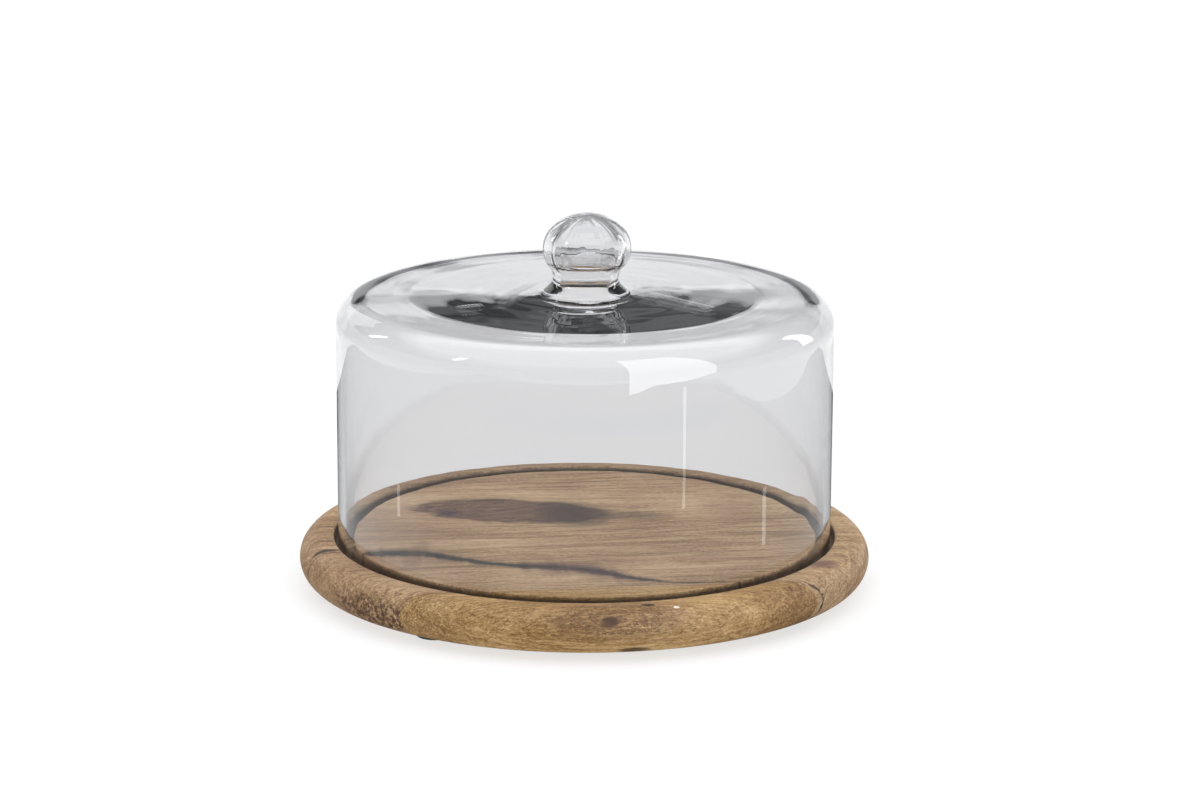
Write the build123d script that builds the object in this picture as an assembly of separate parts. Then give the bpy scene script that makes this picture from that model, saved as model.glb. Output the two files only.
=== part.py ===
from build123d import *

import math
import os

# Bell jar dome: a blown glass dome with a hollow ball knob, standing loose in the groove of a
# round wooden base. The base is glued up from four staves and stands on four rubber feet.
#
# Millimetres, +Z up. The origin is on the surface that the feet stand on, at the middle of the
# base. The front is towards -Y.

# Wooden base
BASE_DIAMETER = 300.0
BOARD_THICKNESS = 23.5
DISC_DIAMETER = 243.0
GROOVE_OUTER_DIAMETER = 263.6
GROOVE_DEPTH = 8.0
DISC_EDGE_CHAMFER = 0.6
RIM_INNER_ROUND = 1.6
GROOVE_FLOOR_ROUND = 1.0

# Staves: their joints are parallel upright planes along the grain. The offsets are measured
# across the grain from the base's axis, towards the back.
GRAIN_ANGLE = 6.84
FRONT_JOINT = -106.1
STAVE_WIDTH = 94.5

# Rubber feet, on a circle, at the corners of a square that lies nearly along the grain
FOOT_DIAMETER = 20.0
FOOT_HEIGHT = 3.0
FOOT_EDGE_ROUND = 0.7
FOOT_CIRCLE_RADIUS = 125.7
FIRST_FOOT_ANGLE = 53.5

# Glass dome
DOME_DIAMETER = 259.0
DOME_WALL = 3.5
DOME_TOP_ABOVE_BOARD = 128.4
DOME_RISE = 1.6
LEVEL_BAND_RADIUS = 90.0
SLOPE_BLEND_RADIUS = 150.0
CEILING_SAG = 1.4
SHOULDER_RADIUS = 14.0
LIP_ROUND = 1.2
THROAT_EDGE_ROUND = 2.5

# Glass knob: an oblate hollow ball on a short neck that flares onto the dome
BALL_RADIUS = 23.0
BALL_HALF_HEIGHT = 18.3
BALL_SIDE_RADIUS = 15.0
BALL_CENTRE_ABOVE_DOME = 23.4
BALL_WALL = 4.8
NECK_RADIUS = 17.1
NECK_BLEND_RADIUS = 4.0
FLARE_HEIGHT = 6.0
FLARE_RADIUS = 23.3
FLARE_ARC_RADIUS = 8.6
THROAT_RADIUS = 12.5
THROAT_BLEND_RADIUS = 3.0

# Heights above the resting surface
BOARD_BOTTOM = FOOT_HEIGHT
BOARD_TOP = BOARD_BOTTOM + BOARD_THICKNESS
GROOVE_FLOOR = BOARD_TOP - GROOVE_DEPTH
DOME_TOP = BOARD_TOP + DOME_TOP_ABOVE_BOARD
BAND_TOP = DOME_TOP - DOME_RISE
BAND_CEILING = BAND_TOP - DOME_WALL
THROAT_CEILING = BAND_CEILING - CEILING_SAG
BALL_CENTRE = DOME_TOP + BALL_CENTRE_ABOVE_DOME


def turned(section):
    """The solid that a section, drawn as radius and height, makes when it goes round the axis."""
    return revolve(Plane.XZ * section, axis=Axis.Z)


def nearest_corner(section, point):
    return section.vertices().sort_by_distance(point)[0]


def with_rounds(section, rounds):
    """The section with its corner nearest to each (radius, height) point rounded off."""
    for point, radius in rounds:
        section = fillet(nearest_corner(section, point), radius)
    return section


def turned_board():
    """The whole round board, with its half-round rim and the groove for the dome."""
    nose_radius = BOARD_THICKNESS / 2
    nose_start = BASE_DIAMETER / 2 - nose_radius
    disc_radius = DISC_DIAMETER / 2
    groove_radius = GROOVE_OUTER_DIAMETER / 2
    outline = [
        Polyline((0, BOARD_TOP), (0, BOARD_BOTTOM), (nose_start, BOARD_BOTTOM)),
        ThreePointArc(
            (nose_start, BOARD_BOTTOM),
            (BASE_DIAMETER / 2, BOARD_BOTTOM + nose_radius),
            (nose_start, BOARD_TOP),
        ),
        Polyline(
            (nose_start, BOARD_TOP),
            (groove_radius, BOARD_TOP),
            (groove_radius, GROOVE_FLOOR),
            (disc_radius, GROOVE_FLOOR),
            (disc_radius, BOARD_TOP),
            (0, BOARD_TOP),
        ),
    ]
    rounds = [
        ((groove_radius, BOARD_TOP), RIM_INNER_ROUND),
        ((groove_radius, GROOVE_FLOOR), GROOVE_FLOOR_ROUND),
        ((disc_radius, GROOVE_FLOOR), GROOVE_FLOOR_ROUND),
    ]
    section = with_rounds(make_face(outline), rounds)
    disc_corner = nearest_corner(section, (disc_radius, BOARD_TOP))
    return turned(chamfer(disc_corner, DISC_EDGE_CHAMFER))


def stave(board, front, back):
    """The strip of the board between two joints, given by their offsets across the grain."""
    strip = Pos(0, (front + back) / 2, 0) * Box(2 * BASE_DIAMETER, back - front, BASE_DIAMETER)
    return board & (Rot(0, 0, GRAIN_ANGLE) * strip)


def staves():
    """The four staves by name. The outermost two run past the rim before it is turned."""
    joints = [FRONT_JOINT + count * STAVE_WIDTH for count in range(3)]
    edges = [-BASE_DIAMETER, *joints, BASE_DIAMETER]
    names = ["front_stave", "centre_front_stave", "centre_back_stave", "back_stave"]
    board = turned_board()
    return {
        name: stave(board, front, back)
        for name, front, back in zip(names, edges[:-1], edges[1:])
    }


def foot(angle):
    """A round rubber pad stuck under the board, at that angle from the front towards the right."""
    pad = Pos(0, 0, FOOT_HEIGHT / 2) * Cylinder(FOOT_DIAMETER / 2, FOOT_HEIGHT)
    pad = fillet(pad.edges().sort_by(Axis.Z)[0], FOOT_EDGE_ROUND)
    turn = math.radians(angle)
    x = FOOT_CIRCLE_RADIUS * math.sin(turn)
    y = -FOOT_CIRCLE_RADIUS * math.cos(turn)
    return Pos(x, y, 0) * pad


def feet():
    """The four rubber feet by name."""
    names = ["foot_front_right", "foot_back_right", "foot_back_left", "foot_front_left"]
    return {name: foot(FIRST_FOOT_ANGLE + 90 * count) for count, name in enumerate(names)}


def glass_dome():
    """The dome: a wall of even thickness with a rounded shoulder and a ground lip.

    The top is level beside the shoulder and rises slightly from there to a flat land under the
    knob, while its underside sags: the glass is thickest round the throat."""
    outer = DOME_DIAMETER / 2
    inner = outer - DOME_WALL
    outline = Polyline(
        (FLARE_RADIUS, DOME_TOP),
        (LEVEL_BAND_RADIUS, BAND_TOP),
        (outer, BAND_TOP),
        (outer, GROOVE_FLOOR),
        (inner, GROOVE_FLOOR),
        (inner, BAND_CEILING),
        (LEVEL_BAND_RADIUS, BAND_CEILING),
        (THROAT_RADIUS, THROAT_CEILING),
        (THROAT_RADIUS, DOME_TOP),
        (FLARE_RADIUS, DOME_TOP),
    )
    rounds = [
        ((LEVEL_BAND_RADIUS, BAND_TOP), SLOPE_BLEND_RADIUS),
        ((LEVEL_BAND_RADIUS, BAND_CEILING), SLOPE_BLEND_RADIUS),
        ((outer, BAND_TOP), SHOULDER_RADIUS),
        ((inner, BAND_CEILING), SHOULDER_RADIUS),
        ((outer, GROOVE_FLOOR), LIP_ROUND),
        ((inner, GROOVE_FLOOR), LIP_ROUND),
        ((THROAT_RADIUS, THROAT_CEILING), THROAT_EDGE_ROUND),
    ]
    return turned(with_rounds(make_face(outline), rounds))


def ball_outline(inset, meeting_radius):
    """The ball's outline, moved inwards by the inset, from the crown down to where it meets the
    neck or the throat. It is an oval: a crown arc about the axis and a tighter arc at the side."""
    side_centre = BALL_RADIUS - BALL_SIDE_RADIUS
    height_gap = BALL_HALF_HEIGHT - BALL_SIDE_RADIUS
    crown_radius = BALL_SIDE_RADIUS + (side_centre**2 + height_gap**2) / (2 * height_gap)
    change = math.degrees(math.atan2(crown_radius - BALL_HALF_HEIGHT, side_centre))
    crown_centre = BALL_CENTRE + BALL_HALF_HEIGHT - crown_radius
    side_radius = BALL_SIDE_RADIUS - inset
    meeting = -math.degrees(math.acos((meeting_radius - side_centre) / side_radius))
    return [
        CenterArc((0, crown_centre), crown_radius - inset, change, 90 - change),
        CenterArc((side_centre, BALL_CENTRE), side_radius, meeting, change - meeting),
    ]


def glass_knob():
    """The hollow knob: ball and neck in one, with the throat open to the inside of the dome."""
    outside = ball_outline(0, NECK_RADIUS)
    inside = ball_outline(BALL_WALL, THROAT_RADIUS)
    neck_top = outside[-1] @ 0
    throat_top = inside[-1] @ 0
    flare_top = (NECK_RADIUS, DOME_TOP + FLARE_HEIGHT)
    outline = [
        *outside,
        Line(neck_top, flare_top),
        RadiusArc(flare_top, (FLARE_RADIUS, DOME_TOP), -FLARE_ARC_RADIUS),
        Polyline((FLARE_RADIUS, DOME_TOP), (THROAT_RADIUS, DOME_TOP), throat_top),
        *inside,
        Line(inside[0] @ 1, outside[0] @ 1),
    ]
    rounds = [
        ((neck_top.X, neck_top.Y), NECK_BLEND_RADIUS),
        ((throat_top.X, throat_top.Y), THROAT_BLEND_RADIUS),
    ]
    return turned(with_rounds(make_face(outline), rounds))


def main():
    os.makedirs("parts", exist_ok=True)
    pieces = {**staves(), **feet(), "glass_dome": glass_dome(), "glass_knob": glass_knob()}
    for name, piece in pieces.items():
        export_step(piece, f"parts/{name}.step")


main()
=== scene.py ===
import math

import bmesh
import bpy
from mathutils import Matrix, Vector, noise


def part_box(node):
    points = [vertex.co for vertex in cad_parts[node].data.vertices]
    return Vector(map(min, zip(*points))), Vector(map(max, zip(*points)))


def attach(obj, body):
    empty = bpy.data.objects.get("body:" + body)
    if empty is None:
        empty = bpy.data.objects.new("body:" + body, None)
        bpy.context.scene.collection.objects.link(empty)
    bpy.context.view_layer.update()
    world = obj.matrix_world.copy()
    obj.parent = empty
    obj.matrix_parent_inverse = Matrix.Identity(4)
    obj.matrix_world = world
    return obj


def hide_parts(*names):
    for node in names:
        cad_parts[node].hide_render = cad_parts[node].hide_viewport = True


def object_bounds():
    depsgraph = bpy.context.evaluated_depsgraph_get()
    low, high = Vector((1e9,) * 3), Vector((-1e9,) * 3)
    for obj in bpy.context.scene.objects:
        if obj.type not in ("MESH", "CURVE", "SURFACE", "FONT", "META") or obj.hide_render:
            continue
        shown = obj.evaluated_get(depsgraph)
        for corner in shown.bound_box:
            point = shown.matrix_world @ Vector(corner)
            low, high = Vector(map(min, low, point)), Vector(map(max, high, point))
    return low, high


# The looks of a bell jar dome on a wooden base: four glued staves, four rubber feet and one
# blown piece of glass. Metres, in the frame of the CAD model: +Z up, the front towards -Y.

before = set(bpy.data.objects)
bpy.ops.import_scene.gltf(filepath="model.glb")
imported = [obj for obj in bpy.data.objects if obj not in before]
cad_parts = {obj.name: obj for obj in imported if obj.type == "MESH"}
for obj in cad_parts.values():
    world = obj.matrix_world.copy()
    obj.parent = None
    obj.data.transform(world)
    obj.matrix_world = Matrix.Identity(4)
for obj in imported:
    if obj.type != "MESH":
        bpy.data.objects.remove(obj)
cad_low, cad_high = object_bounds()

MM = 0.001

# Wooden base, worked out from the frame where it shows there
BASE_RADIUS = cad_high.x
BOARD_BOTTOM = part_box("front_stave")[0].z
BOARD_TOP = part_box("front_stave")[1].z
GROOVE_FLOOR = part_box("glass_dome")[0].z
DISC_RADIUS = 121.5 * MM
GROOVE_RADIUS = 131.8 * MM
GRAIN_ANGLE = math.radians(6.84)
FRONT_JOINT = -106.1 * MM
STAVE_WIDTH = 94.5 * MM
GLUE_LINE = 0.05 * MM

# Glass, likewise
DOME_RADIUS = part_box("glass_dome")[1].x
DOME_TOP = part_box("glass_dome")[1].z
KNOB_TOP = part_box("glass_knob")[1].z
DOME_WALL = 3.5 * MM
SHOULDER_RADIUS = 14 * MM
BALL_RADIUS = 23 * MM
BALL_HALF_HEIGHT = 18.3 * MM
BALL_SIDE_RADIUS = 15 * MM
BALL_WALL = 4.8 * MM
NECK_RADIUS = 17.1 * MM
FLARE_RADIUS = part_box("glass_knob")[1].x
THROAT_RADIUS = 12.5 * MM


# ---------------------------------------------------------------- mesh helpers


def new_object(name, mesh):
    made = bpy.data.objects.new(name, mesh)
    bpy.context.scene.collection.objects.link(made)
    return made


def arc(centre, radius, start, end, steps):
    """Points of an arc in a section: (radius from the axis, height), angles in degrees."""
    points = []
    for step in range(steps + 1):
        angle = math.radians(start + (end - start) * step / steps)
        points.append((centre[0] + radius * math.cos(angle), centre[1] + radius * math.sin(angle)))
    return points


def line(start, end, steps):
    """Points of a straight run in a section, without its last point."""
    return [
        (start[0] + (end[0] - start[0]) * k / steps, start[1] + (end[1] - start[1]) * k / steps)
        for k in range(steps)
    ]


def turned(section, segments, shape=None):
    """A closed bmesh of a section turned round the axis, from one point on it to another."""
    made = bmesh.new()
    rings = []
    for place, (radius, height) in enumerate(section):
        if radius < 1e-9:
            rings.append([made.verts.new((0, 0, height))])
            continue
        ring = []
        for segment in range(segments):
            angle = 2 * math.pi * segment / segments
            point = Vector((radius * math.cos(angle), radius * math.sin(angle), height))
            if shape:
                point = shape(point, place)
            ring.append(made.verts.new(point))
        rings.append(ring)
    for ring, after in zip(rings[:-1], rings[1:]):
        for segment in range(segments):
            corners = [
                ring[segment % len(ring)],
                after[segment % len(after)],
                after[(segment + 1) % len(after)],
                ring[(segment + 1) % len(ring)],
            ]
            made.faces.new(list(dict.fromkeys(corners)))
    bmesh.ops.recalc_face_normals(made, faces=made.faces)
    return made


def finished(made, name, sharp_degrees=None):
    """The bmesh as an object, smooth but for edges sharper than the angle."""
    mesh = bpy.data.meshes.new(name)
    for face in made.faces:
        face.smooth = True
    if sharp_degrees:
        for edge in made.edges:
            if edge.is_manifold and edge.calc_face_angle(0) > math.radians(sharp_degrees):
                edge.smooth = False
    made.to_mesh(mesh)
    made.free()
    return new_object(name, mesh)


# ---------------------------------------------------------------- node helpers


class Graph:
    """Builds a material's or world's nodes. Its calls take plain values or other nodes' outputs."""

    def __init__(self, name, world=False):
        self.world = world
        self.owner = (bpy.data.worlds if world else bpy.data.materials).new(name)
        self.owner.use_nodes = True
        self.nodes = self.owner.node_tree.nodes
        self.links = self.owner.node_tree.links
        self.nodes.clear()

    def node(self, kind, inputs=(), **settings):
        made = self.nodes.new("ShaderNode" + kind)
        for name, setting in settings.items():
            setattr(made, name, setting)
        for key, given in dict(inputs).items():
            if isinstance(given, bpy.types.NodeSocket):
                self.links.new(given, made.inputs[key])
            else:
                made.inputs[key].default_value = given
        return made

    def math(self, operation, a, b=0.0, c=0.0):
        return self.node("Math", {0: a, 1: b, 2: c}, operation=operation).outputs[0]

    def add(self, *terms):
        total = terms[0]
        for term in terms[1:]:
            total = self.math("ADD", total, term)
        return total

    def times(self, *factors):
        product = factors[0]
        for factor in factors[1:]:
            product = self.math("MULTIPLY", product, factor)
        return product

    def step(self, value, low, high, out_low=0.0, out_high=1.0, way="SMOOTHSTEP"):
        """Goes from out_low at low to out_high at high, and stays there beyond them."""
        inputs = {0: value, 1: low, 2: high, 3: out_low, 4: out_high}
        return self.node("MapRange", inputs, interpolation_type=way).outputs[0]

    def scaled(self, vector, factors):
        return self.node("VectorMath", {0: vector, 1: factors}, operation="MULTIPLY").outputs[0]

    def moved(self, vector, offset):
        return self.node("VectorMath", {0: vector, 1: offset}, operation="ADD").outputs[0]

    def noise(self, vector, scale=1.0, detail=2.0, roughness=0.5):
        inputs = {"Vector": vector, "Scale": scale, "Detail": detail, "Roughness": roughness}
        return self.node("TexNoise", inputs).outputs[0]

    def noise_along(self, value, detail=2.0, roughness=0.5):
        inputs = {"W": value, "Scale": 1.0, "Detail": detail, "Roughness": roughness}
        return self.node("TexNoise", inputs, noise_dimensions="1D").outputs[0]

    def mix(self, share, a, b, blend="MIX"):
        inputs = {0: share, 6: a, 7: b}
        return self.node("Mix", inputs, data_type="RGBA", blend_type=blend).outputs[2]

    def ramp(self, value, stops):
        made = self.node("ValToRGB", {0: value})
        elements = made.color_ramp.elements
        for count, (place, colour) in enumerate(stops):
            element = elements[count] if count < 2 else elements.new(place)
            element.position = place
            element.color = colour
        return made.outputs[0]

    def curve(self, value, points, reach):
        """A curve through a few (input, output) points, all within -reach to reach."""
        scaled = self.math("MULTIPLY_ADD", value, 0.5 / reach, 0.5)
        made = self.node("FloatCurve", {0: 1.0, 1: scaled})
        dots = made.mapping.curves[0].points
        for count, (x, y) in enumerate(points):
            place = (0.5 + 0.5 * x / reach, 0.5 + 0.5 * y / reach)
            if count < 2:
                dots[count].location = place
            else:
                dots.new(*place)
        for dot in dots:
            dot.handle_type = "AUTO_CLAMPED"
        made.mapping.update()
        return self.math("MULTIPLY_ADD", made.outputs[0], 2 * reach, -reach)

    def finish(self, shader):
        """The material or world, with this shader on it."""
        self.node("OutputWorld" if self.world else "OutputMaterial", {"Surface": shader})
        return self.owner


def rgb(red, green, blue):
    """A colour given in sRGB parts of 255."""
    parts = []
    for part in (red, green, blue):
        share = part / 255
        parts.append(share / 12.92 if share <= 0.04045 else ((share + 0.055) / 1.055) ** 2.4)
    return (*parts, 1.0)


# ---------------------------------------------------------------- wood


def board_section():
    """The board's outline from the middle of its top, over the groove and rim, to its underside."""
    nose = (BOARD_TOP - BOARD_BOTTOM) / 2
    middle = BOARD_BOTTOM + nose
    rim = BASE_RADIUS - nose
    chamfer = 0.6 * MM
    rim_round = 1.6 * MM
    floor_round = 1.0 * MM
    steps = 24
    return [
        *line((0, BOARD_TOP), (DISC_RADIUS - chamfer, BOARD_TOP), steps),
        *arc((DISC_RADIUS - chamfer, BOARD_TOP - chamfer), chamfer, 90, 0, 4),
        *arc((DISC_RADIUS + floor_round, GROOVE_FLOOR + floor_round), floor_round, 180, 270, 4),
        *arc((GROOVE_RADIUS - floor_round, GROOVE_FLOOR + floor_round), floor_round, 270, 360, 4),
        *arc((GROOVE_RADIUS + rim_round, BOARD_TOP - rim_round), rim_round, 180, 90, 5),
        *arc((rim, middle), nose, 90, -90, 28),
        *line((rim - 1 * MM, BOARD_BOTTOM), (0, BOARD_BOTTOM), steps),
        (0, BOARD_BOTTOM),
    ]


def worn(point, place):
    """A point of the board's surface, drawn in a little by hand sanding."""
    dip = 0.5 + 0.5 * noise.noise(point * 22)
    fine = 0.5 + 0.5 * noise.noise(point * 90 + Vector((3, 7, 1)))
    radius = math.hypot(point.x, point.y)
    if radius < GROOVE_RADIUS + 1 * MM:
        return point
    inward = (dip * 0.28 + fine * 0.08) * MM / radius
    return Vector((point.x * (1 - inward), point.y * (1 - inward), point.z))


def stave(board, name, front, back):
    """The strip of the board between two offsets across the grain, as a closed piece."""
    made = board.copy()
    across = Vector((-math.sin(GRAIN_ANGLE), math.cos(GRAIN_ANGLE), 0))
    for offset, outward in ((front, -across), (back, across)):
        if abs(offset) > BASE_RADIUS:
            continue
        cut = bmesh.ops.bisect_plane(
            made,
            geom=made.verts[:] + made.edges[:] + made.faces[:],
            plane_co=across * offset,
            plane_no=outward,
            clear_outer=True,
        )
        edges = [g for g in cut["geom_cut"] if isinstance(g, bmesh.types.BMEdge)]
        bmesh.ops.edgeloop_fill(made, edges=edges)
    bmesh.ops.recalc_face_normals(made, faces=made.faces)
    piece = finished(made, name, sharp_degrees=50)
    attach(piece, "base")
    return piece


def grain_space(g):
    """Coordinates in the wood, in millimetres: along the grain, across it, and up."""
    inputs = {
        "Vector": g.node("TexCoord").outputs["Object"],
        "Rotation": (0, 0, -GRAIN_ANGLE),
        "Scale": (1 / MM, 1 / MM, 1 / MM),
    }
    return g.node("Mapping", inputs).outputs[0]


MANGO_TONES = [
    (0.30, rgb(81, 53, 31)),
    (0.39, rgb(120, 88, 57)),
    (0.47, rgb(154, 121, 85)),
    (0.55, rgb(184, 152, 114)),
    (0.67, rgb(210, 183, 147)),
]
GOLDEN_TONES = [
    (0.30, rgb(78, 48, 20)),
    (0.39, rgb(118, 82, 40)),
    (0.47, rgb(150, 112, 62)),
    (0.56, rgb(184, 148, 96)),
    (0.68, rgb(212, 180, 132)),
]
PINK_HEARTWOOD = rgb(158, 116, 94)
OPEN_PORE = rgb(70, 44, 26)
# The groove's colour is painted shade, standing in for the shadow beside the glass's lip, not a
# colour of the wood
GROOVE_PAINTED_SHADE = rgb(46, 30, 18)
BLEACHED = rgb(186, 160, 142)


def radius_of(g, place):
    """Distance from the base's axis."""
    level = g.scaled(place, (1, 1, 0))
    return g.node("VectorMath", {0: level}, operation="LENGTH").outputs["Value"]


def ring_tone(g, grain, v, w, pith, seed):
    """Light and dark of the growth rings round the pith."""
    from_pith_v = g.math("SUBTRACT", v, pith[0])
    from_pith_w = g.math("SUBTRACT", w, pith[1])
    squares = g.add(g.times(from_pith_v, from_pith_v), g.times(from_pith_w, from_pith_w))
    wobble = g.noise(g.scaled(grain, (0.005, 0.03, 0.03)), detail=3)
    radius = g.math("MULTIPLY_ADD", wobble, 16.0, g.math("SQRT", squares))
    return g.noise_along(g.math("MULTIPLY_ADD", radius, 0.35, seed), detail=5, roughness=0.68)


def open_pores(g, grain):
    """1 in the short pores, which lie in rows along the grain."""
    place = g.scaled(grain, (0.16, 1.05, 1.05))
    cells = g.node("TexVoronoi", {"Vector": place, "Scale": 1.0, "Randomness": 1.0}).outputs[0]
    rows = g.noise(g.scaled(grain, (0.03, 0.3, 0.3)), detail=2)
    return g.times(g.step(cells, 0.30, 0.16), g.step(rows, 0.42, 0.62))


def painted_groove_shade(g, place, up):
    """1 down in the groove, where painted shade darkens the wood, and 0 on the disc's top and the
    rim.
    """
    rim = GROOVE_RADIUS / MM
    top = BOARD_TOP / MM
    low = g.step(up, top - 0.4, top - 2.5)
    return g.times(low, g.step(radius_of(g, place), rim + 1.9, rim + 0.6))


def wood(name, seed, pith, bend=None, tones=MANGO_TONES, features=None):
    """Oiled open-grained wood. pith is where the stave's tree had its middle, across and up.

    bend moves the fibres aside, and features puts the stave's own marks on the colour.
    """
    g = Graph(name)
    place = grain_space(g)
    u, v, w = g.node("SeparateXYZ", {0: place}).outputs
    if bend:
        v = bend(g, place, u, v)
    wander = g.noise_along(g.math("MULTIPLY_ADD", u, 0.012, seed), detail=2)
    v = g.math("MULTIPLY_ADD", wander, 5.0, v)
    grain = g.node("CombineXYZ", {0: u, 1: v, 2: w}).outputs[0]
    grain = g.moved(grain, (seed * 173.0, seed * 31.0, seed * 57.0))

    rings = ring_tone(g, grain, v, w, pith, seed)
    fibre = g.noise(g.scaled(grain, (0.035, 0.9, 0.9)), detail=5, roughness=0.72)
    streaks = g.noise(g.scaled(grain, (0.012, 0.22, 0.22)), detail=4, roughness=0.62)
    cloud = g.noise(g.scaled(grain, (0.011, 0.028, 0.028)), detail=3, roughness=0.5)
    speckle = g.noise(g.scaled(grain, (0.5, 1.3, 1.3)), detail=3, roughness=0.75)
    pores = open_pores(g, grain)

    tone = g.add(
        g.times(rings, 0.18), g.times(fibre, 0.47), g.times(streaks, 0.22), g.times(cloud, 0.28),
        g.times(speckle, 0.41), -0.28,
    )
    pink = g.step(g.noise(g.scaled(grain, (0.012, 0.05, 0.05)), detail=2), 0.52, 0.72)
    colour = g.mix(g.times(pink, 0.32), g.ramp(tone, tones), PINK_HEARTWOOD)
    colour = g.mix(g.times(pores, 0.70), colour, OPEN_PORE)
    # Painted shade: the wood down in the groove is darkened in place of the shadow there
    colour = g.mix(g.times(painted_groove_shade(g, place, w), 0.82), colour, GROOVE_PAINTED_SHADE)
    if features:
        colour = features(g, colour, place, u, v, fibre)

    height = g.add(g.times(fibre, 0.5), g.times(rings, 0.25), g.times(pores, -0.9))
    bump = g.node("Bump", {"Strength": 0.35, "Distance": 0.4 * MM, "Height": height})
    shader = g.node("BsdfPrincipled", {
        "Base Color": colour,
        "Roughness": g.add(0.46, g.times(fibre, 0.18), g.times(cloud, 0.12)),
        "Normal": bump.outputs[0],
        "Specular IOR Level": 0.35,
    })
    return g.finish(shader.outputs[0])


def oval(g, place, centre, turn, half_length, half_width, half_height=1e6):
    """Distance from an oval's centre, 1 on its outline. It may go right through the board."""
    inputs = {
        "Vector": place,
        "Location": (*centre, 0)[:3],
        "Rotation": (0, 0, math.radians(turn)),
        "Scale": (half_length, half_width, half_height),
    }
    fitted = g.node("Mapping", inputs, vector_type="TEXTURE").outputs[0]
    return g.node("VectorMath", {0: fitted}, operation="LENGTH").outputs["Value"]


def marked(g, colour, distance, outer, inner, share, tint, mask=1.0):
    """The colour with a mark on it: none where distance is over outer, all of it under inner."""
    return g.mix(g.times(g.step(distance, outer, inner), mask, share), colour, tint)


# The marks on the staves, as ovals in the wood's coordinates in millimetres: centre, turn in
# degrees, and half sizes. KNOT and what belongs to it lie in the centre back stave.
KNOT = ((-36, 42), -13, 51, 22)
KNOT_LOBE = ((-3, 32), 18, 19, 26)
KNOT_TAIL = ((28, 26), -8, 24, 9)
KNOT_CORE = ((-69, 40), 0, 7, 5)
KNOT_SHADE = ((86, 36), 0, 20, 24)
FIBRE_SLOPE = -0.23

# Centre front stave: the crack's line as (along, across) and its half width as (along, width)
CRACK_LINE = [
    (-150, -28), (-112, -32), (-90, -34.5), (-67, -49), (-49, -59.5), (-36, -63.5),
    (-15, -69), (-3, -75), (6, -84), (22, -95), (40, -101), (150, -104),
]
CRACK_WIDTH = [
    (-150, 0.3), (-118, 1), (-112, 5.4), (-90, 5.4), (-67, 4.6), (-49, 2.6), (-36, 5.2),
    (-12, 6.5), (0, 7), (12, 4.5), (24, 1.8), (36, 0.8), (150, 0.2),
]
CRACK_REACH = 150
CRACK_SMUDGE = ((-90, -30), 78, 30, 5)
RIM_CRACK = ((-138, -24.5), 4, 7, 2.2)
RIM_BLOTCH = ((-119, -91, 12), -52, 24, 8, 6)
RIM_PLUM = ((113, -77, 26), 20, 9, 6, 4)

# Front stave
BURL = ((-1, -146, 22), 0, 20, 9, 6)
BURL_EYE = ((-5, -147, 21), 0, 4.5, 3, 3)
HOLE = ((15, -138, 26), 0, 3.4, 1.6, 2)
CHIP = ((29, -140, 25.4), 0, 1.6, 0.8, 1)
BOTTOM_MARK = ((8, -147, 5), 0, 9, 4, 2.5)


def round_the_knot(g, place, u, v):
    """Across the grain as the fibres count it: they part and run round the knot."""
    distance = oval(g, place, *KNOT)
    fade = g.math("MAXIMUM", g.times(distance, distance), 1.0)
    along, across = KNOT[0]
    middle = g.math("MULTIPLY_ADD", u, FIBRE_SLOPE, across - FIBRE_SLOPE * along)
    offset = g.math("SUBTRACT", v, middle)
    return g.math("SUBTRACT", v, g.times(g.math("DIVIDE", offset, fade), 0.55))


def left_of_disc(g, place, u):
    """Share of the bleached, pinkish tint at the disc's left end."""
    return g.times(g.step(u, -62, -110, 0.0, 0.30), g.step(radius_of(g, place), 122, 120))


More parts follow.
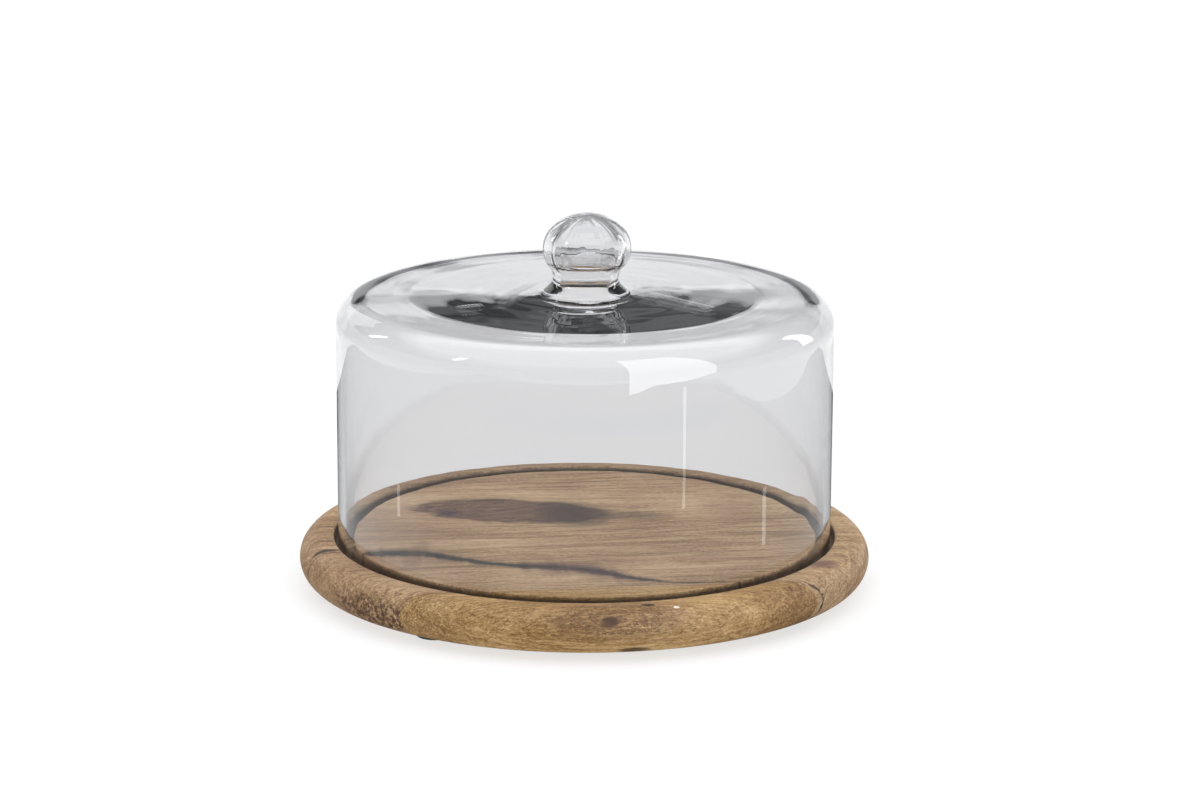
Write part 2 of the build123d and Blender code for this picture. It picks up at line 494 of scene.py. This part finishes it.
def knot_features(g, colour, place, u, v, fibre):
    """The large eye in the centre back stave, with its dark lobe and a small ingrown core."""
    ragged = g.noise(g.scaled(place, (0.05, 0.09, 0.09)), detail=5, roughness=0.66)
    shake = g.math("MULTIPLY_ADD", ragged, 0.7, -0.35)
    grained = g.step(fibre, 0.38, 0.62, 0.65, 1.0)

    outer = g.add(oval(g, place, *KNOT), shake)
    inside = g.step(outer, 1.05, 0.90)
    edge = g.times(g.step(outer, 1.12, 0.99), g.step(outer, 0.66, 0.92))
    left_end = g.step(u, -10, -40)
    colour = marked(g, colour, outer, 0.62, 0.25, 0.4, rgb(150, 120, 98), left_end)
    colour = g.mix(left_of_disc(g, place, u), colour, BLEACHED)
    colour = g.mix(g.times(inside, grained, 0.80), colour, rgb(98, 68, 50))
    colour = g.mix(g.times(edge, grained, 0.62), colour, rgb(72, 48, 42))
    swirl = g.noise_along(g.times(outer, 17.0), detail=5, roughness=0.75)
    figure = g.ramp(g.add(g.times(swirl, 0.55), g.times(fibre, 0.60)), [
        (0.50, rgb(38, 20, 14)), (0.58, rgb(84, 54, 38)), (0.66, rgb(144, 108, 84)),
    ])
    colour = g.mix(g.times(inside, 0.66), colour, figure)

    wisps = g.noise(g.scaled(place, (0.06, 0.30, 0.30)), detail=4, roughness=0.7)
    lobe = g.add(oval(g, place, *KNOT_LOBE), g.math("MULTIPLY_ADD", wisps, 1.0, -0.5))
    colour = marked(g, colour, lobe, 1.30, 0.50, 0.86, rgb(48, 31, 28), grained)
    tail = g.add(oval(g, place, *KNOT_TAIL), g.times(shake, 1.2))
    colour = marked(g, colour, tail, 1.3, 0.4, 0.35, rgb(92, 66, 50))
    core = g.add(oval(g, place, *KNOT_CORE), g.times(shake, 1.2))
    colour = marked(g, colour, core, 1.4, 0.5, 0.85, rgb(48, 28, 46))
    shade = g.add(oval(g, place, *KNOT_SHADE), g.times(shake, 1.6))
    colour = marked(g, colour, shade, 1.4, 0.3, 0.30, rgb(112, 80, 54))

    thread = g.math("SUBTRACT", v, g.math("MULTIPLY_ADD", ragged, 6.0, 5.0))
    ends = g.times(g.step(u, 8, 14), g.step(u, 56, 46))
    thread = g.math("ABSOLUTE", thread)
    return marked(g, colour, thread, 1.0, 0.2, 0.5, rgb(96, 66, 48), ends)


def crack(g, colour, place, u, fibre, ragged):
    """The stained crack line, purple at its right part, with a brown halo."""
    across = g.node("SeparateXYZ", {0: place}).outputs[1]
    wiggle = g.noise_along(g.times(u, 0.07), detail=3, roughness=0.6)
    middle = g.math("SUBTRACT", g.curve(u, CRACK_LINE, CRACK_REACH), 2.5)
    middle = g.math("MULTIPLY_ADD", wiggle, 5.0, middle)
    swell = g.noise_along(g.math("MULTIPLY_ADD", u, 0.11, 30.0), detail=3, roughness=0.7)
    swell = g.step(swell, 0.32, 0.62, 0.75, 1.25)
    half = g.math("MAXIMUM", g.times(g.curve(u, CRACK_WIDTH, CRACK_REACH), swell), 0.3)
    away = g.math("ABSOLUTE", g.math("SUBTRACT", across, middle))
    away = g.math("MULTIPLY_ADD", ragged, 3.4, g.math("SUBTRACT", away, 1.7))
    away = g.math("DIVIDE", away, half)

    purple = g.times(g.step(u, -46, -34), g.step(u, 34, 4))
    stain = g.mix(purple, rgb(42, 42, 36), rgb(58, 34, 42))
    halo = g.mix(purple, rgb(118, 88, 62), rgb(96, 62, 58))
    grained = g.step(fibre, 0.40, 0.58, g.math("MULTIPLY_ADD", purple, -0.55, 1.0), 1.0)
    colour = marked(g, colour, away, 3.0, 0.8, 0.45, halo)
    colour = marked(g, colour, away, 1.25, 0.55, 0.92, stain, grained)
    return marked(g, colour, away, 0.55, 0.20, 0.7, rgb(28, 24, 22), g.step(half, 1.5, 3.0))


def streak_features(g, colour, place, u, v, fibre):
    """The crack across the centre front stave, its smudge, and the marks on the rim."""
    colour = g.mix(left_of_disc(g, place, u), colour, BLEACHED)
    ragged = g.noise(g.scaled(place, (0.09, 0.45, 0.45)), detail=5, roughness=0.7)
    colour = crack(g, colour, place, u, fibre, ragged)
    smudge = g.add(oval(g, place, *CRACK_SMUDGE), g.math("MULTIPLY_ADD", ragged, 1.2, -0.6))
    colour = marked(g, colour, smudge, 1.5, 0.5, 0.32, rgb(96, 68, 54))
    rim_crack = g.add(oval(g, place, *RIM_CRACK), g.math("MULTIPLY_ADD", ragged, 0.8, -0.4))
    colour = marked(g, colour, rim_crack, 1.3, 0.7, 0.95, rgb(34, 28, 26))

    shake = g.math("MULTIPLY_ADD", ragged, 1.8, -0.9)
    blotch = g.add(oval(g, place, *RIM_BLOTCH), shake)
    spots = g.noise(g.scaled(place, (0.35, 0.5, 0.5)), detail=4, roughness=0.7)
    spots = g.step(spots, 0.56, 0.46)
    colour = marked(g, colour, blotch, 2.0, 0.8, 0.85, rgb(66, 40, 22), spots)
    plum = g.add(oval(g, place, *RIM_PLUM), shake)
    colour = marked(g, colour, plum, 1.4, 0.4, 0.7, rgb(84, 42, 50))
    return g.mix(g.times(g.step(u, -104, -130), 0.10), colour, rgb(150, 104, 84))


def front_features(g, colour, place, u, v, fibre):
    """A small knot in the front stave, a hole and a chip beside it and a dark underside mark."""
    ragged = g.noise(g.scaled(place, (0.12, 0.2, 0.2)), detail=5, roughness=0.7)
    shake = g.math("MULTIPLY_ADD", ragged, 1.6, -0.8)
    burl = g.add(oval(g, place, *BURL), shake)
    curls = g.noise_along(g.times(burl, 7.0), detail=4, roughness=0.7)
    curls = g.step(curls, 0.42, 0.58)
    colour = marked(g, colour, burl, 2.6, 0.8, 0.85, rgb(84, 50, 22), curls)
    eye = g.add(oval(g, place, *BURL_EYE), g.times(shake, 0.7))
    colour = marked(g, colour, eye, 1.3, 0.6, 0.8, rgb(56, 30, 12))
    hole = g.add(oval(g, place, *HOLE), g.times(shake, 0.4))
    colour = marked(g, colour, hole, 1.2, 0.8, 0.95, rgb(24, 14, 8))
    chip = g.add(oval(g, place, *CHIP), g.times(shake, 0.6))
    colour = marked(g, colour, chip, 1.1, 0.8, 1.0, rgb(240, 232, 216))
    bottom_mark = g.add(oval(g, place, *BOTTOM_MARK), g.times(shake, 0.6))
    colour = marked(g, colour, bottom_mark, 1.4, 0.7, 0.8, rgb(44, 28, 16))
    end_grain = g.step(g.math("ABSOLUTE", u), 62, 92)
    dots = g.noise(g.scaled(place, (0.9, 0.9, 0.9)), detail=3, roughness=0.75)
    return marked(g, colour, dots, 0.56, 0.44, 0.5, rgb(104, 72, 38), end_grain)


def base_pieces():
    """The four staves, each with its own run of the wood."""
    board = turned(board_section(), 288, worn)
    joints = [FRONT_JOINT + count * STAVE_WIDTH for count in range(3)]
    edges = [-2 * BASE_RADIUS, *joints, 2 * BASE_RADIUS]
    looks = {
        "front_stave": dict(
            seed=1.7, pith=(-150, 70), tones=GOLDEN_TONES, features=front_features
        ),
        "centre_front_stave": dict(seed=4.1, pith=(-40, -55), features=streak_features),
        "centre_back_stave": dict(
            seed=7.3, pith=(52, -80), bend=round_the_knot, features=knot_features
        ),
        "back_stave": dict(seed=9.6, pith=(120, 60)),
    }
    slots = dict.fromkeys(looks, "mango_wood") | {"front_stave": "pale_mango_wood"}
    for (name, look), front, back in zip(looks.items(), edges[:-1], edges[1:]):
        piece = stave(board, f"wood_{name}", front + GLUE_LINE, back - GLUE_LINE)
        piece.data.materials.append(wood(f"wood_{name}", **look))
        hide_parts(name)
    board.free()


# ---------------------------------------------------------------- rubber feet


def rubber():
    g = Graph("black_rubber")
    place = g.node("TexCoord").outputs["Object"]
    speckle = g.noise(place, scale=900, detail=3, roughness=0.7)
    dust = g.noise(place, scale=60, detail=3)
    colour = g.mix(g.step(dust, 0.5, 0.75), (0.016, 0.016, 0.017, 1), (0.05, 0.048, 0.045, 1))
    bump = g.node("Bump", {"Strength": 0.3, "Distance": 0.2 * MM, "Height": speckle})
    shader = g.node("BsdfPrincipled", {
        "Base Color": colour,
        "Roughness": g.step(dust, 0.3, 0.8, 0.55, 0.8),
        "Normal": bump.outputs[0],
    })
    return g.finish(shader.outputs[0])


def feet():
    material = rubber()
    for side in ("front_left", "front_right", "back_right", "back_left"):
        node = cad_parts[f"foot_{side}"]
        node.data.materials.clear()
        node.data.materials.append(material)


# ---------------------------------------------------------------- glass

# The middle of the top rises as a very flat cone from a level band beside the shoulder. Under it
# the glass thickens towards the knob.
CONE_RADIUS = 90 * MM
CONE_RISE = 1.6 * MM
BAND_TOP = DOME_TOP - CONE_RISE
CEILING = BAND_TOP - DOME_WALL
CEILING_SAG = 1.4 * MM
CEILING_TILT = math.radians(0.6)
SLOPE_BLEND_RADIUS = 150 * MM
BALL_CENTRE = KNOB_TOP - BALL_HALF_HEIGHT
GLASS_SEGMENTS = 256
TOOL_MARK_SPACING = 1.9 * MM
KNOB_LEAN = 0.9 * MM


def ball(inset, meeting_radius, steps):
    """The ball's outline from its top down to where it meets the neck or the throat."""
    side = BALL_RADIUS - BALL_SIDE_RADIUS
    gap = BALL_HALF_HEIGHT - BALL_SIDE_RADIUS
    crown = BALL_SIDE_RADIUS + (side**2 + gap**2) / (2 * gap)
    change = math.degrees(math.atan2(crown - BALL_HALF_HEIGHT, side))
    crown_centre = (0, BALL_CENTRE + BALL_HALF_HEIGHT - crown)
    tight = BALL_SIDE_RADIUS - inset
    meeting = -math.degrees(math.acos((meeting_radius - side) / tight))
    return [
        *arc(crown_centre, crown - inset, 90, change, steps)[:-1],
        *arc((side, BALL_CENTRE), tight, change, meeting, 2 * steps),
    ]


def rounded(corners, steps=10):
    """A section through (radius, height, rounding) corners. Its ends aren't rounded."""
    made = [corners[0][:2]]
    for before, corner, after in zip(corners[:-2], corners[1:-1], corners[2:]):
        here = Vector(corner[:2])
        back = (Vector(before[:2]) - here).normalized()
        ahead = (Vector(after[:2]) - here).normalized()
        half = back.angle(ahead) / 2
        if not corner[2]:
            made.append(tuple(here))
            continue
        centre = here + (back + ahead).normalized() * (corner[2] / math.sin(half))
        start = here + back * (corner[2] / math.tan(half)) - centre
        end = here + ahead * (corner[2] / math.tan(half)) - centre
        turn = math.atan2(start.cross(end), start.dot(end))
        for step in range(steps + 1):
            made.append(tuple(centre + Matrix.Rotation(turn * step / steps, 2) @ start))
    made.append(corners[-1][:2])
    return made


def glass_section():
    """The whole glass: down its outside from the knob to the lip, and up its inside again."""
    inner = DOME_RADIUS - DOME_WALL
    lip_middle = DOME_RADIUS - DOME_WALL / 2
    outer_ball = ball(0, NECK_RADIUS, 14)
    inner_ball = ball(BALL_WALL, THROAT_RADIUS, 12)
    around = [
        (*outer_ball[-6], 0),
        (*outer_ball[-1], 8 * MM),
        (NECK_RADIUS, DOME_TOP + 5.4 * MM, 6 * MM),
        (FLARE_RADIUS - 1 * MM, DOME_TOP + 0.3 * MM, 6 * MM),
        (CONE_RADIUS, BAND_TOP, SLOPE_BLEND_RADIUS),
        (DOME_RADIUS, BAND_TOP, SHOULDER_RADIUS),
        (DOME_RADIUS, GROOVE_FLOOR, 1.2 * MM),
        (lip_middle, GROOVE_FLOOR, 0),
        (inner, GROOVE_FLOOR, 1.2 * MM),
        (inner, CEILING, SHOULDER_RADIUS),
        (CONE_RADIUS, CEILING, SLOPE_BLEND_RADIUS),
        (THROAT_RADIUS + 1.5 * MM, CEILING - CEILING_SAG, 8 * MM),
        (*inner_ball[-1], 9 * MM),
        (*inner_ball[-6], 0),
    ]
    outline = [*outer_ball[:-6], *rounded(around), *reversed(inner_ball[:-6])]
    top_spacing = 1.3 * MM
    wall_spacing = 4 * MM
    made = []
    for start, end in zip(outline[:-1], outline[1:]):
        level = abs(start[1] - end[1]) < 1 * MM
        spacing = top_spacing if level else wall_spacing
        made.extend(line(start, end, max(1, math.ceil(math.dist(start, end) / spacing))))
    made.append(outline[-1])
    return made


def uneven(*place):
    return noise.noise(Vector(place))


def top_rings(point, around, radius, inner):
    """How far the top's surface lies off its shape: rings from the turning, and soft dents."""
    rings = uneven(radius * 170, around.x * 1.6, around.y * 1.6 + 5.0 * inner)
    rings += 0.6 * uneven(radius * 420, around.x * 2.4, around.y * 2.4 + 3.0 * inner)
    rings *= math.exp(-((radius - 45 * MM) / (40 * MM)) ** 2)
    return 0.16 * MM * rings + 0.20 * MM * uneven(point.x * 26, point.y * 26, 2.0 + 9.0 * inner)


def blown(point, radius, inner):
    """A point of the turned glass, moved as breath, tools and heat leave it.

    inner is 1 for the inside and 0 for the outside, so that the two differ.
    """
    made = point.copy()
    around = Vector((point.x, point.y)).normalized()
    knob_share = min(1.0, max(0.0, (point.z - DOME_TOP - 4 * MM) / (16 * MM)))
    top_low, top_high = CEILING - CEILING_SAG - 3 * MM, DOME_TOP + 1 * MM
    if top_low < point.z < top_high and radius > THROAT_RADIUS:
        made.z += top_rings(point, around, radius, inner)
        if inner:
            fade = min(1.0, max(0.0, (104 * MM - radius) / (16 * MM)))
            made.z -= CEILING_TILT * point.y * (1 + 2.5 * point.x) * fade
    wave = uneven(point.x * 9, point.y * 9, point.z * 14 + 4.0 * inner)
    wave += 0.35 * uneven(point.x * 40, point.y * 40, point.z * 12 + 8.0 * inner)
    wave += 0.30 * uneven(around.x * 13, around.y * 13, point.z * 5 + 8.0 * inner)
    ripple = uneven(around.x * 2.2, around.y * 2.2, point.z * 45 + 5.0 * inner)
    ripple += 0.5 * uneven(around.x * 6, around.y * 6, point.z * 80 + 2.0 * inner)
    wave += ripple * knob_share * (1.6 if inner else 0.15)
    depth = 0.10 * MM + (0.25 * MM if inner else 0.08 * MM) * knob_share
    made.x += point.x / radius * wave * depth + KNOB_LEAN * knob_share
    made.y += point.y / radius * wave * depth
    return made


def tool_marks(g, place, middle, turn, half_length):
    """Height of a row of short marks that the jacks left in the soft top."""
    inputs = {
        "Vector": place,
        "Location": (middle[0], middle[1], DOME_TOP),
        "Rotation": (0, 0, math.radians(turn)),
    }
    local = g.node("Mapping", inputs, vector_type="TEXTURE").outputs[0]
    along, across, up = g.node("SeparateXYZ", {0: local}).outputs
    ends = g.step(g.math("ABSOLUTE", along), half_length, half_length - 6 * MM)
    sides = g.step(g.math("ABSOLUTE", across), 4 * MM, 2.2 * MM)
    level = g.step(g.math("ABSOLUTE", up), 3 * MM, 2 * MM)
    ticks = g.math("SINE", g.times(along, 2 * math.pi / TOOL_MARK_SPACING))
    return g.times(g.step(ticks, -0.2, 0.8), ends, sides, level)


def glass():
    """Clear soda glass, with faint smears and a row of tool marks round the knob."""
    g = Graph("clear_glass")
    place = g.node("TexCoord").outputs["Object"]
    drag = g.noise(g.scaled(place, (14, 14, 60)), detail=3)
    ripples = g.node("Bump", {"Strength": 0.05, "Distance": 0.4 * MM, "Height": drag}).outputs[0]
    marks = g.add(
        tool_marks(g, place, (0.045, -0.014), -44, 0.028),
        tool_marks(g, place, (-0.036, 0.001), 66, 0.021),
        tool_marks(g, place, (-0.059, -0.031), 20, 0.008),
    )
    inputs = {"Strength": 1.0, "Distance": 0.2 * MM, "Height": marks, "Normal": ripples}
    bump = g.node("Bump", inputs)
    glass_shader = g.node("BsdfPrincipled", {
        "Base Color": (0.845, 0.845, 0.853, 1),
        "Roughness": g.step(drag, 0.45, 0.8, 0.0, 0.008),
        "IOR": 1.5,
        "Transmission Weight": 1.0,
        "Normal": bump.outputs[0],
    }).outputs[0]
    clear = g.node("BsdfTransparent", {0: (0.97, 0.975, 0.975, 1)}).outputs[0]
    path = g.node("LightPath").outputs
    inner = g.node("MixShader", {0: path["Is Diffuse Ray"], 1: glass_shader, 2: clear}).outputs[0]
    outer = g.node("MixShader", {0: path["Is Shadow Ray"], 1: inner, 2: clear}).outputs[0]
    return g.finish(outer)


def glass_piece():
    section = glass_section()
    lip = min(range(len(section)), key=lambda place: section[place][1])

    def shape(point, place):
        return blown(point, section[place][0], int(place >= lip))

    made = turned(section, GLASS_SEGMENTS, shape)
    piece = finished(made, "blown_glass")
    piece.data.materials.append(glass())
    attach(piece, "dome")
    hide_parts("glass_dome", "glass_knob")


# ---------------------------------------------------------------- studio


def floor():
    mesh = bpy.data.meshes.new("floor")
    half = 12.0
    corners = [(-half, -half, 0), (half, -half, 0), (half, half, 0), (-half, half, 0)]
    mesh.from_pydata([(x, y, z - 0.0002) for x, y, z in corners], [], [(0, 1, 2, 3)])
    made = new_object("floor", mesh)
    g = Graph("floor")
    shader = g.node("BsdfPrincipled", {
        "Base Color": (0.30, 0.30, 0.30, 1),
        "Roughness": 0.9,
        "Specular IOR Level": 0.1,
        "Emission Color": (1, 1, 1, 1),
        "Emission Strength": 0.69,
    })
    made.data.materials.append(g.finish(shader.outputs[0]))


def off_the_shoulder(g):
    """1 for rays that come off the glass's wall and shoulder, 0 for those off its level top."""
    here = g.node("NewGeometry").outputs
    length = g.node("LightPath").outputs["Ray Length"]
    back = g.node("VectorMath", {0: here["Incoming"], "Scale": length}, operation="SCALE")
    start = g.moved(here["Position"], back.outputs[0])
    return g.step(radius_of(g, start), 108 * MM, 116 * MM)


def card(name, corners, light, shoulder_only=False):
    """A panel that only mirrored rays see, as bright as given."""
    mesh = bpy.data.meshes.new(name)
    mesh.from_pydata(corners, [], [(0, 1, 2, 3)])
    made = new_object(name, mesh)
    g = Graph(name)
    shader = g.node("Emission", {"Color": (1, 1, 1, 1), "Strength": light}).outputs[0]
    if shoulder_only:
        clear = g.node("BsdfTransparent").outputs[0]
        shader = g.node("MixShader", {0: off_the_shoulder(g), 1: clear, 2: shader}).outputs[0]
    made.data.materials.append(g.finish(shader))
    made.visible_camera = False
    made.visible_diffuse = False
    made.visible_transmission = False
    made.visible_shadow = False


def panel(name, middle, width, height, light):
    """An upright card that faces the dome's axis."""
    x, y, z = middle
    far = math.hypot(x, y)
    side = Vector((-y / far, x / far, 0)) * (width / 2)
    low, high = Vector((x, y, z - height / 2)), Vector((x, y, z + height / 2))
    card(name, [low - side, low + side, high + side, high - side], light)


def cards():
    """What the glass mirrors: the dark floor in front of the set, a tall window and lamps."""
    left, right, near, far, low = -0.64, 0.57, 0.40, -0.74, 0.002
    floor_edge = [(left, far, low), (right, far, low), (right, near, low), (left, near, low)]
    card("dark_floor", floor_edge, 0.12)
    window = [(0.20, -0.62, 0.002), (0.52, -0.36, 0.05), (0.52, -0.36, 1.1), (0.20, -0.62, 1.1)]
    card("window", window, 5.0, shoulder_only=True)
    card("ceiling", [(-3, -4, 3), (3, -4, 3), (3, 1, 3), (-3, 1, 3)], 1.1)
    # name, middle, width, height, light
    for lamp in (
        ("lamp_left", (-1.27, 0.62, 0.78), 0.10, 0.45, 9.0),
        ("lamp_front_left", (-1.21, -0.66, 0.92), 0.10, 0.45, 9.0),
        ("lamp_right", (1.31, 0.69, 0.58), 0.26, 0.90, 6.0),
        ("back_left", (-0.80, 1.19, 0.67), 0.60, 0.60, 1.3),
        ("strip_right", (0.193, -0.259, 0.05), 0.007, 0.07, 3.2),
        ("strip_far_right", (0.240, -0.090, 0.018), 0.009, 0.032, 2.6),
        ("strip_left", (-0.242, -0.077, 0.026), 0.007, 0.018, 2.2),
    ):
        panel(*lamp)


def surroundings():
    """A studio as the glass mirrors it: pale near the floor, a dark band, and bright above."""
    # (how far up a direction points, its light)
    levels = ((0.0, 0.95), (0.205, 0.95), (0.225, 0.24), (0.60, 0.34), (0.74, 1.75), (1.0, 2.0))
    g = Graph("studio", world=True)
    direction = g.node("TexCoord").outputs["Generated"]
    up = g.node("SeparateXYZ", {0: direction}).outputs[2]
    stops = [(height, (0.98 * level, level, 1.02 * level, 1)) for height, level in levels]
    light = g.ramp(up, stops)
    clutter = g.noise(g.scaled(direction, (7, 7, 45)), detail=4)
    clutter = g.step(clutter, 0.36, 0.66, 0.45, 1.7, way="LINEAR")
    in_band = g.times(
        g.step(up, 0.62, 0.50, way="LINEAR"), g.step(up, 0.205, 0.225, way="LINEAR")
    )
    light = g.mix(in_band, light, clutter, blend="MULTIPLY")
    background = g.node("Background", {"Color": light, "Strength": 1.0})
    bpy.context.scene.world = g.finish(background.outputs[0])


def camera():
    """The viewer's camera, about 2 m in front of the set and a little above it."""
    made = new_object("camera", bpy.data.cameras.new("camera"))
    made.data.sensor_width = 36
    made.data.lens = 118.06
    made.data.clip_end = 100
    made.location = (0, -1.9973, 0.595)
    pitch, yaw, roll = 0.24436, 0.00397, 0.00396
    turn = Matrix.Rotation(-yaw, 3, "Z") @ Matrix.Rotation(math.pi / 2 - pitch, 3, "X")
    made.rotation_euler = (turn @ Matrix.Rotation(roll, 3, "Z")).to_euler()
    bpy.context.scene.camera = made


base_pieces()
feet()
glass_piece()
floor()
cards()
surroundings()
camera()

bpy.context.scene.view_settings.view_transform = "Standard"
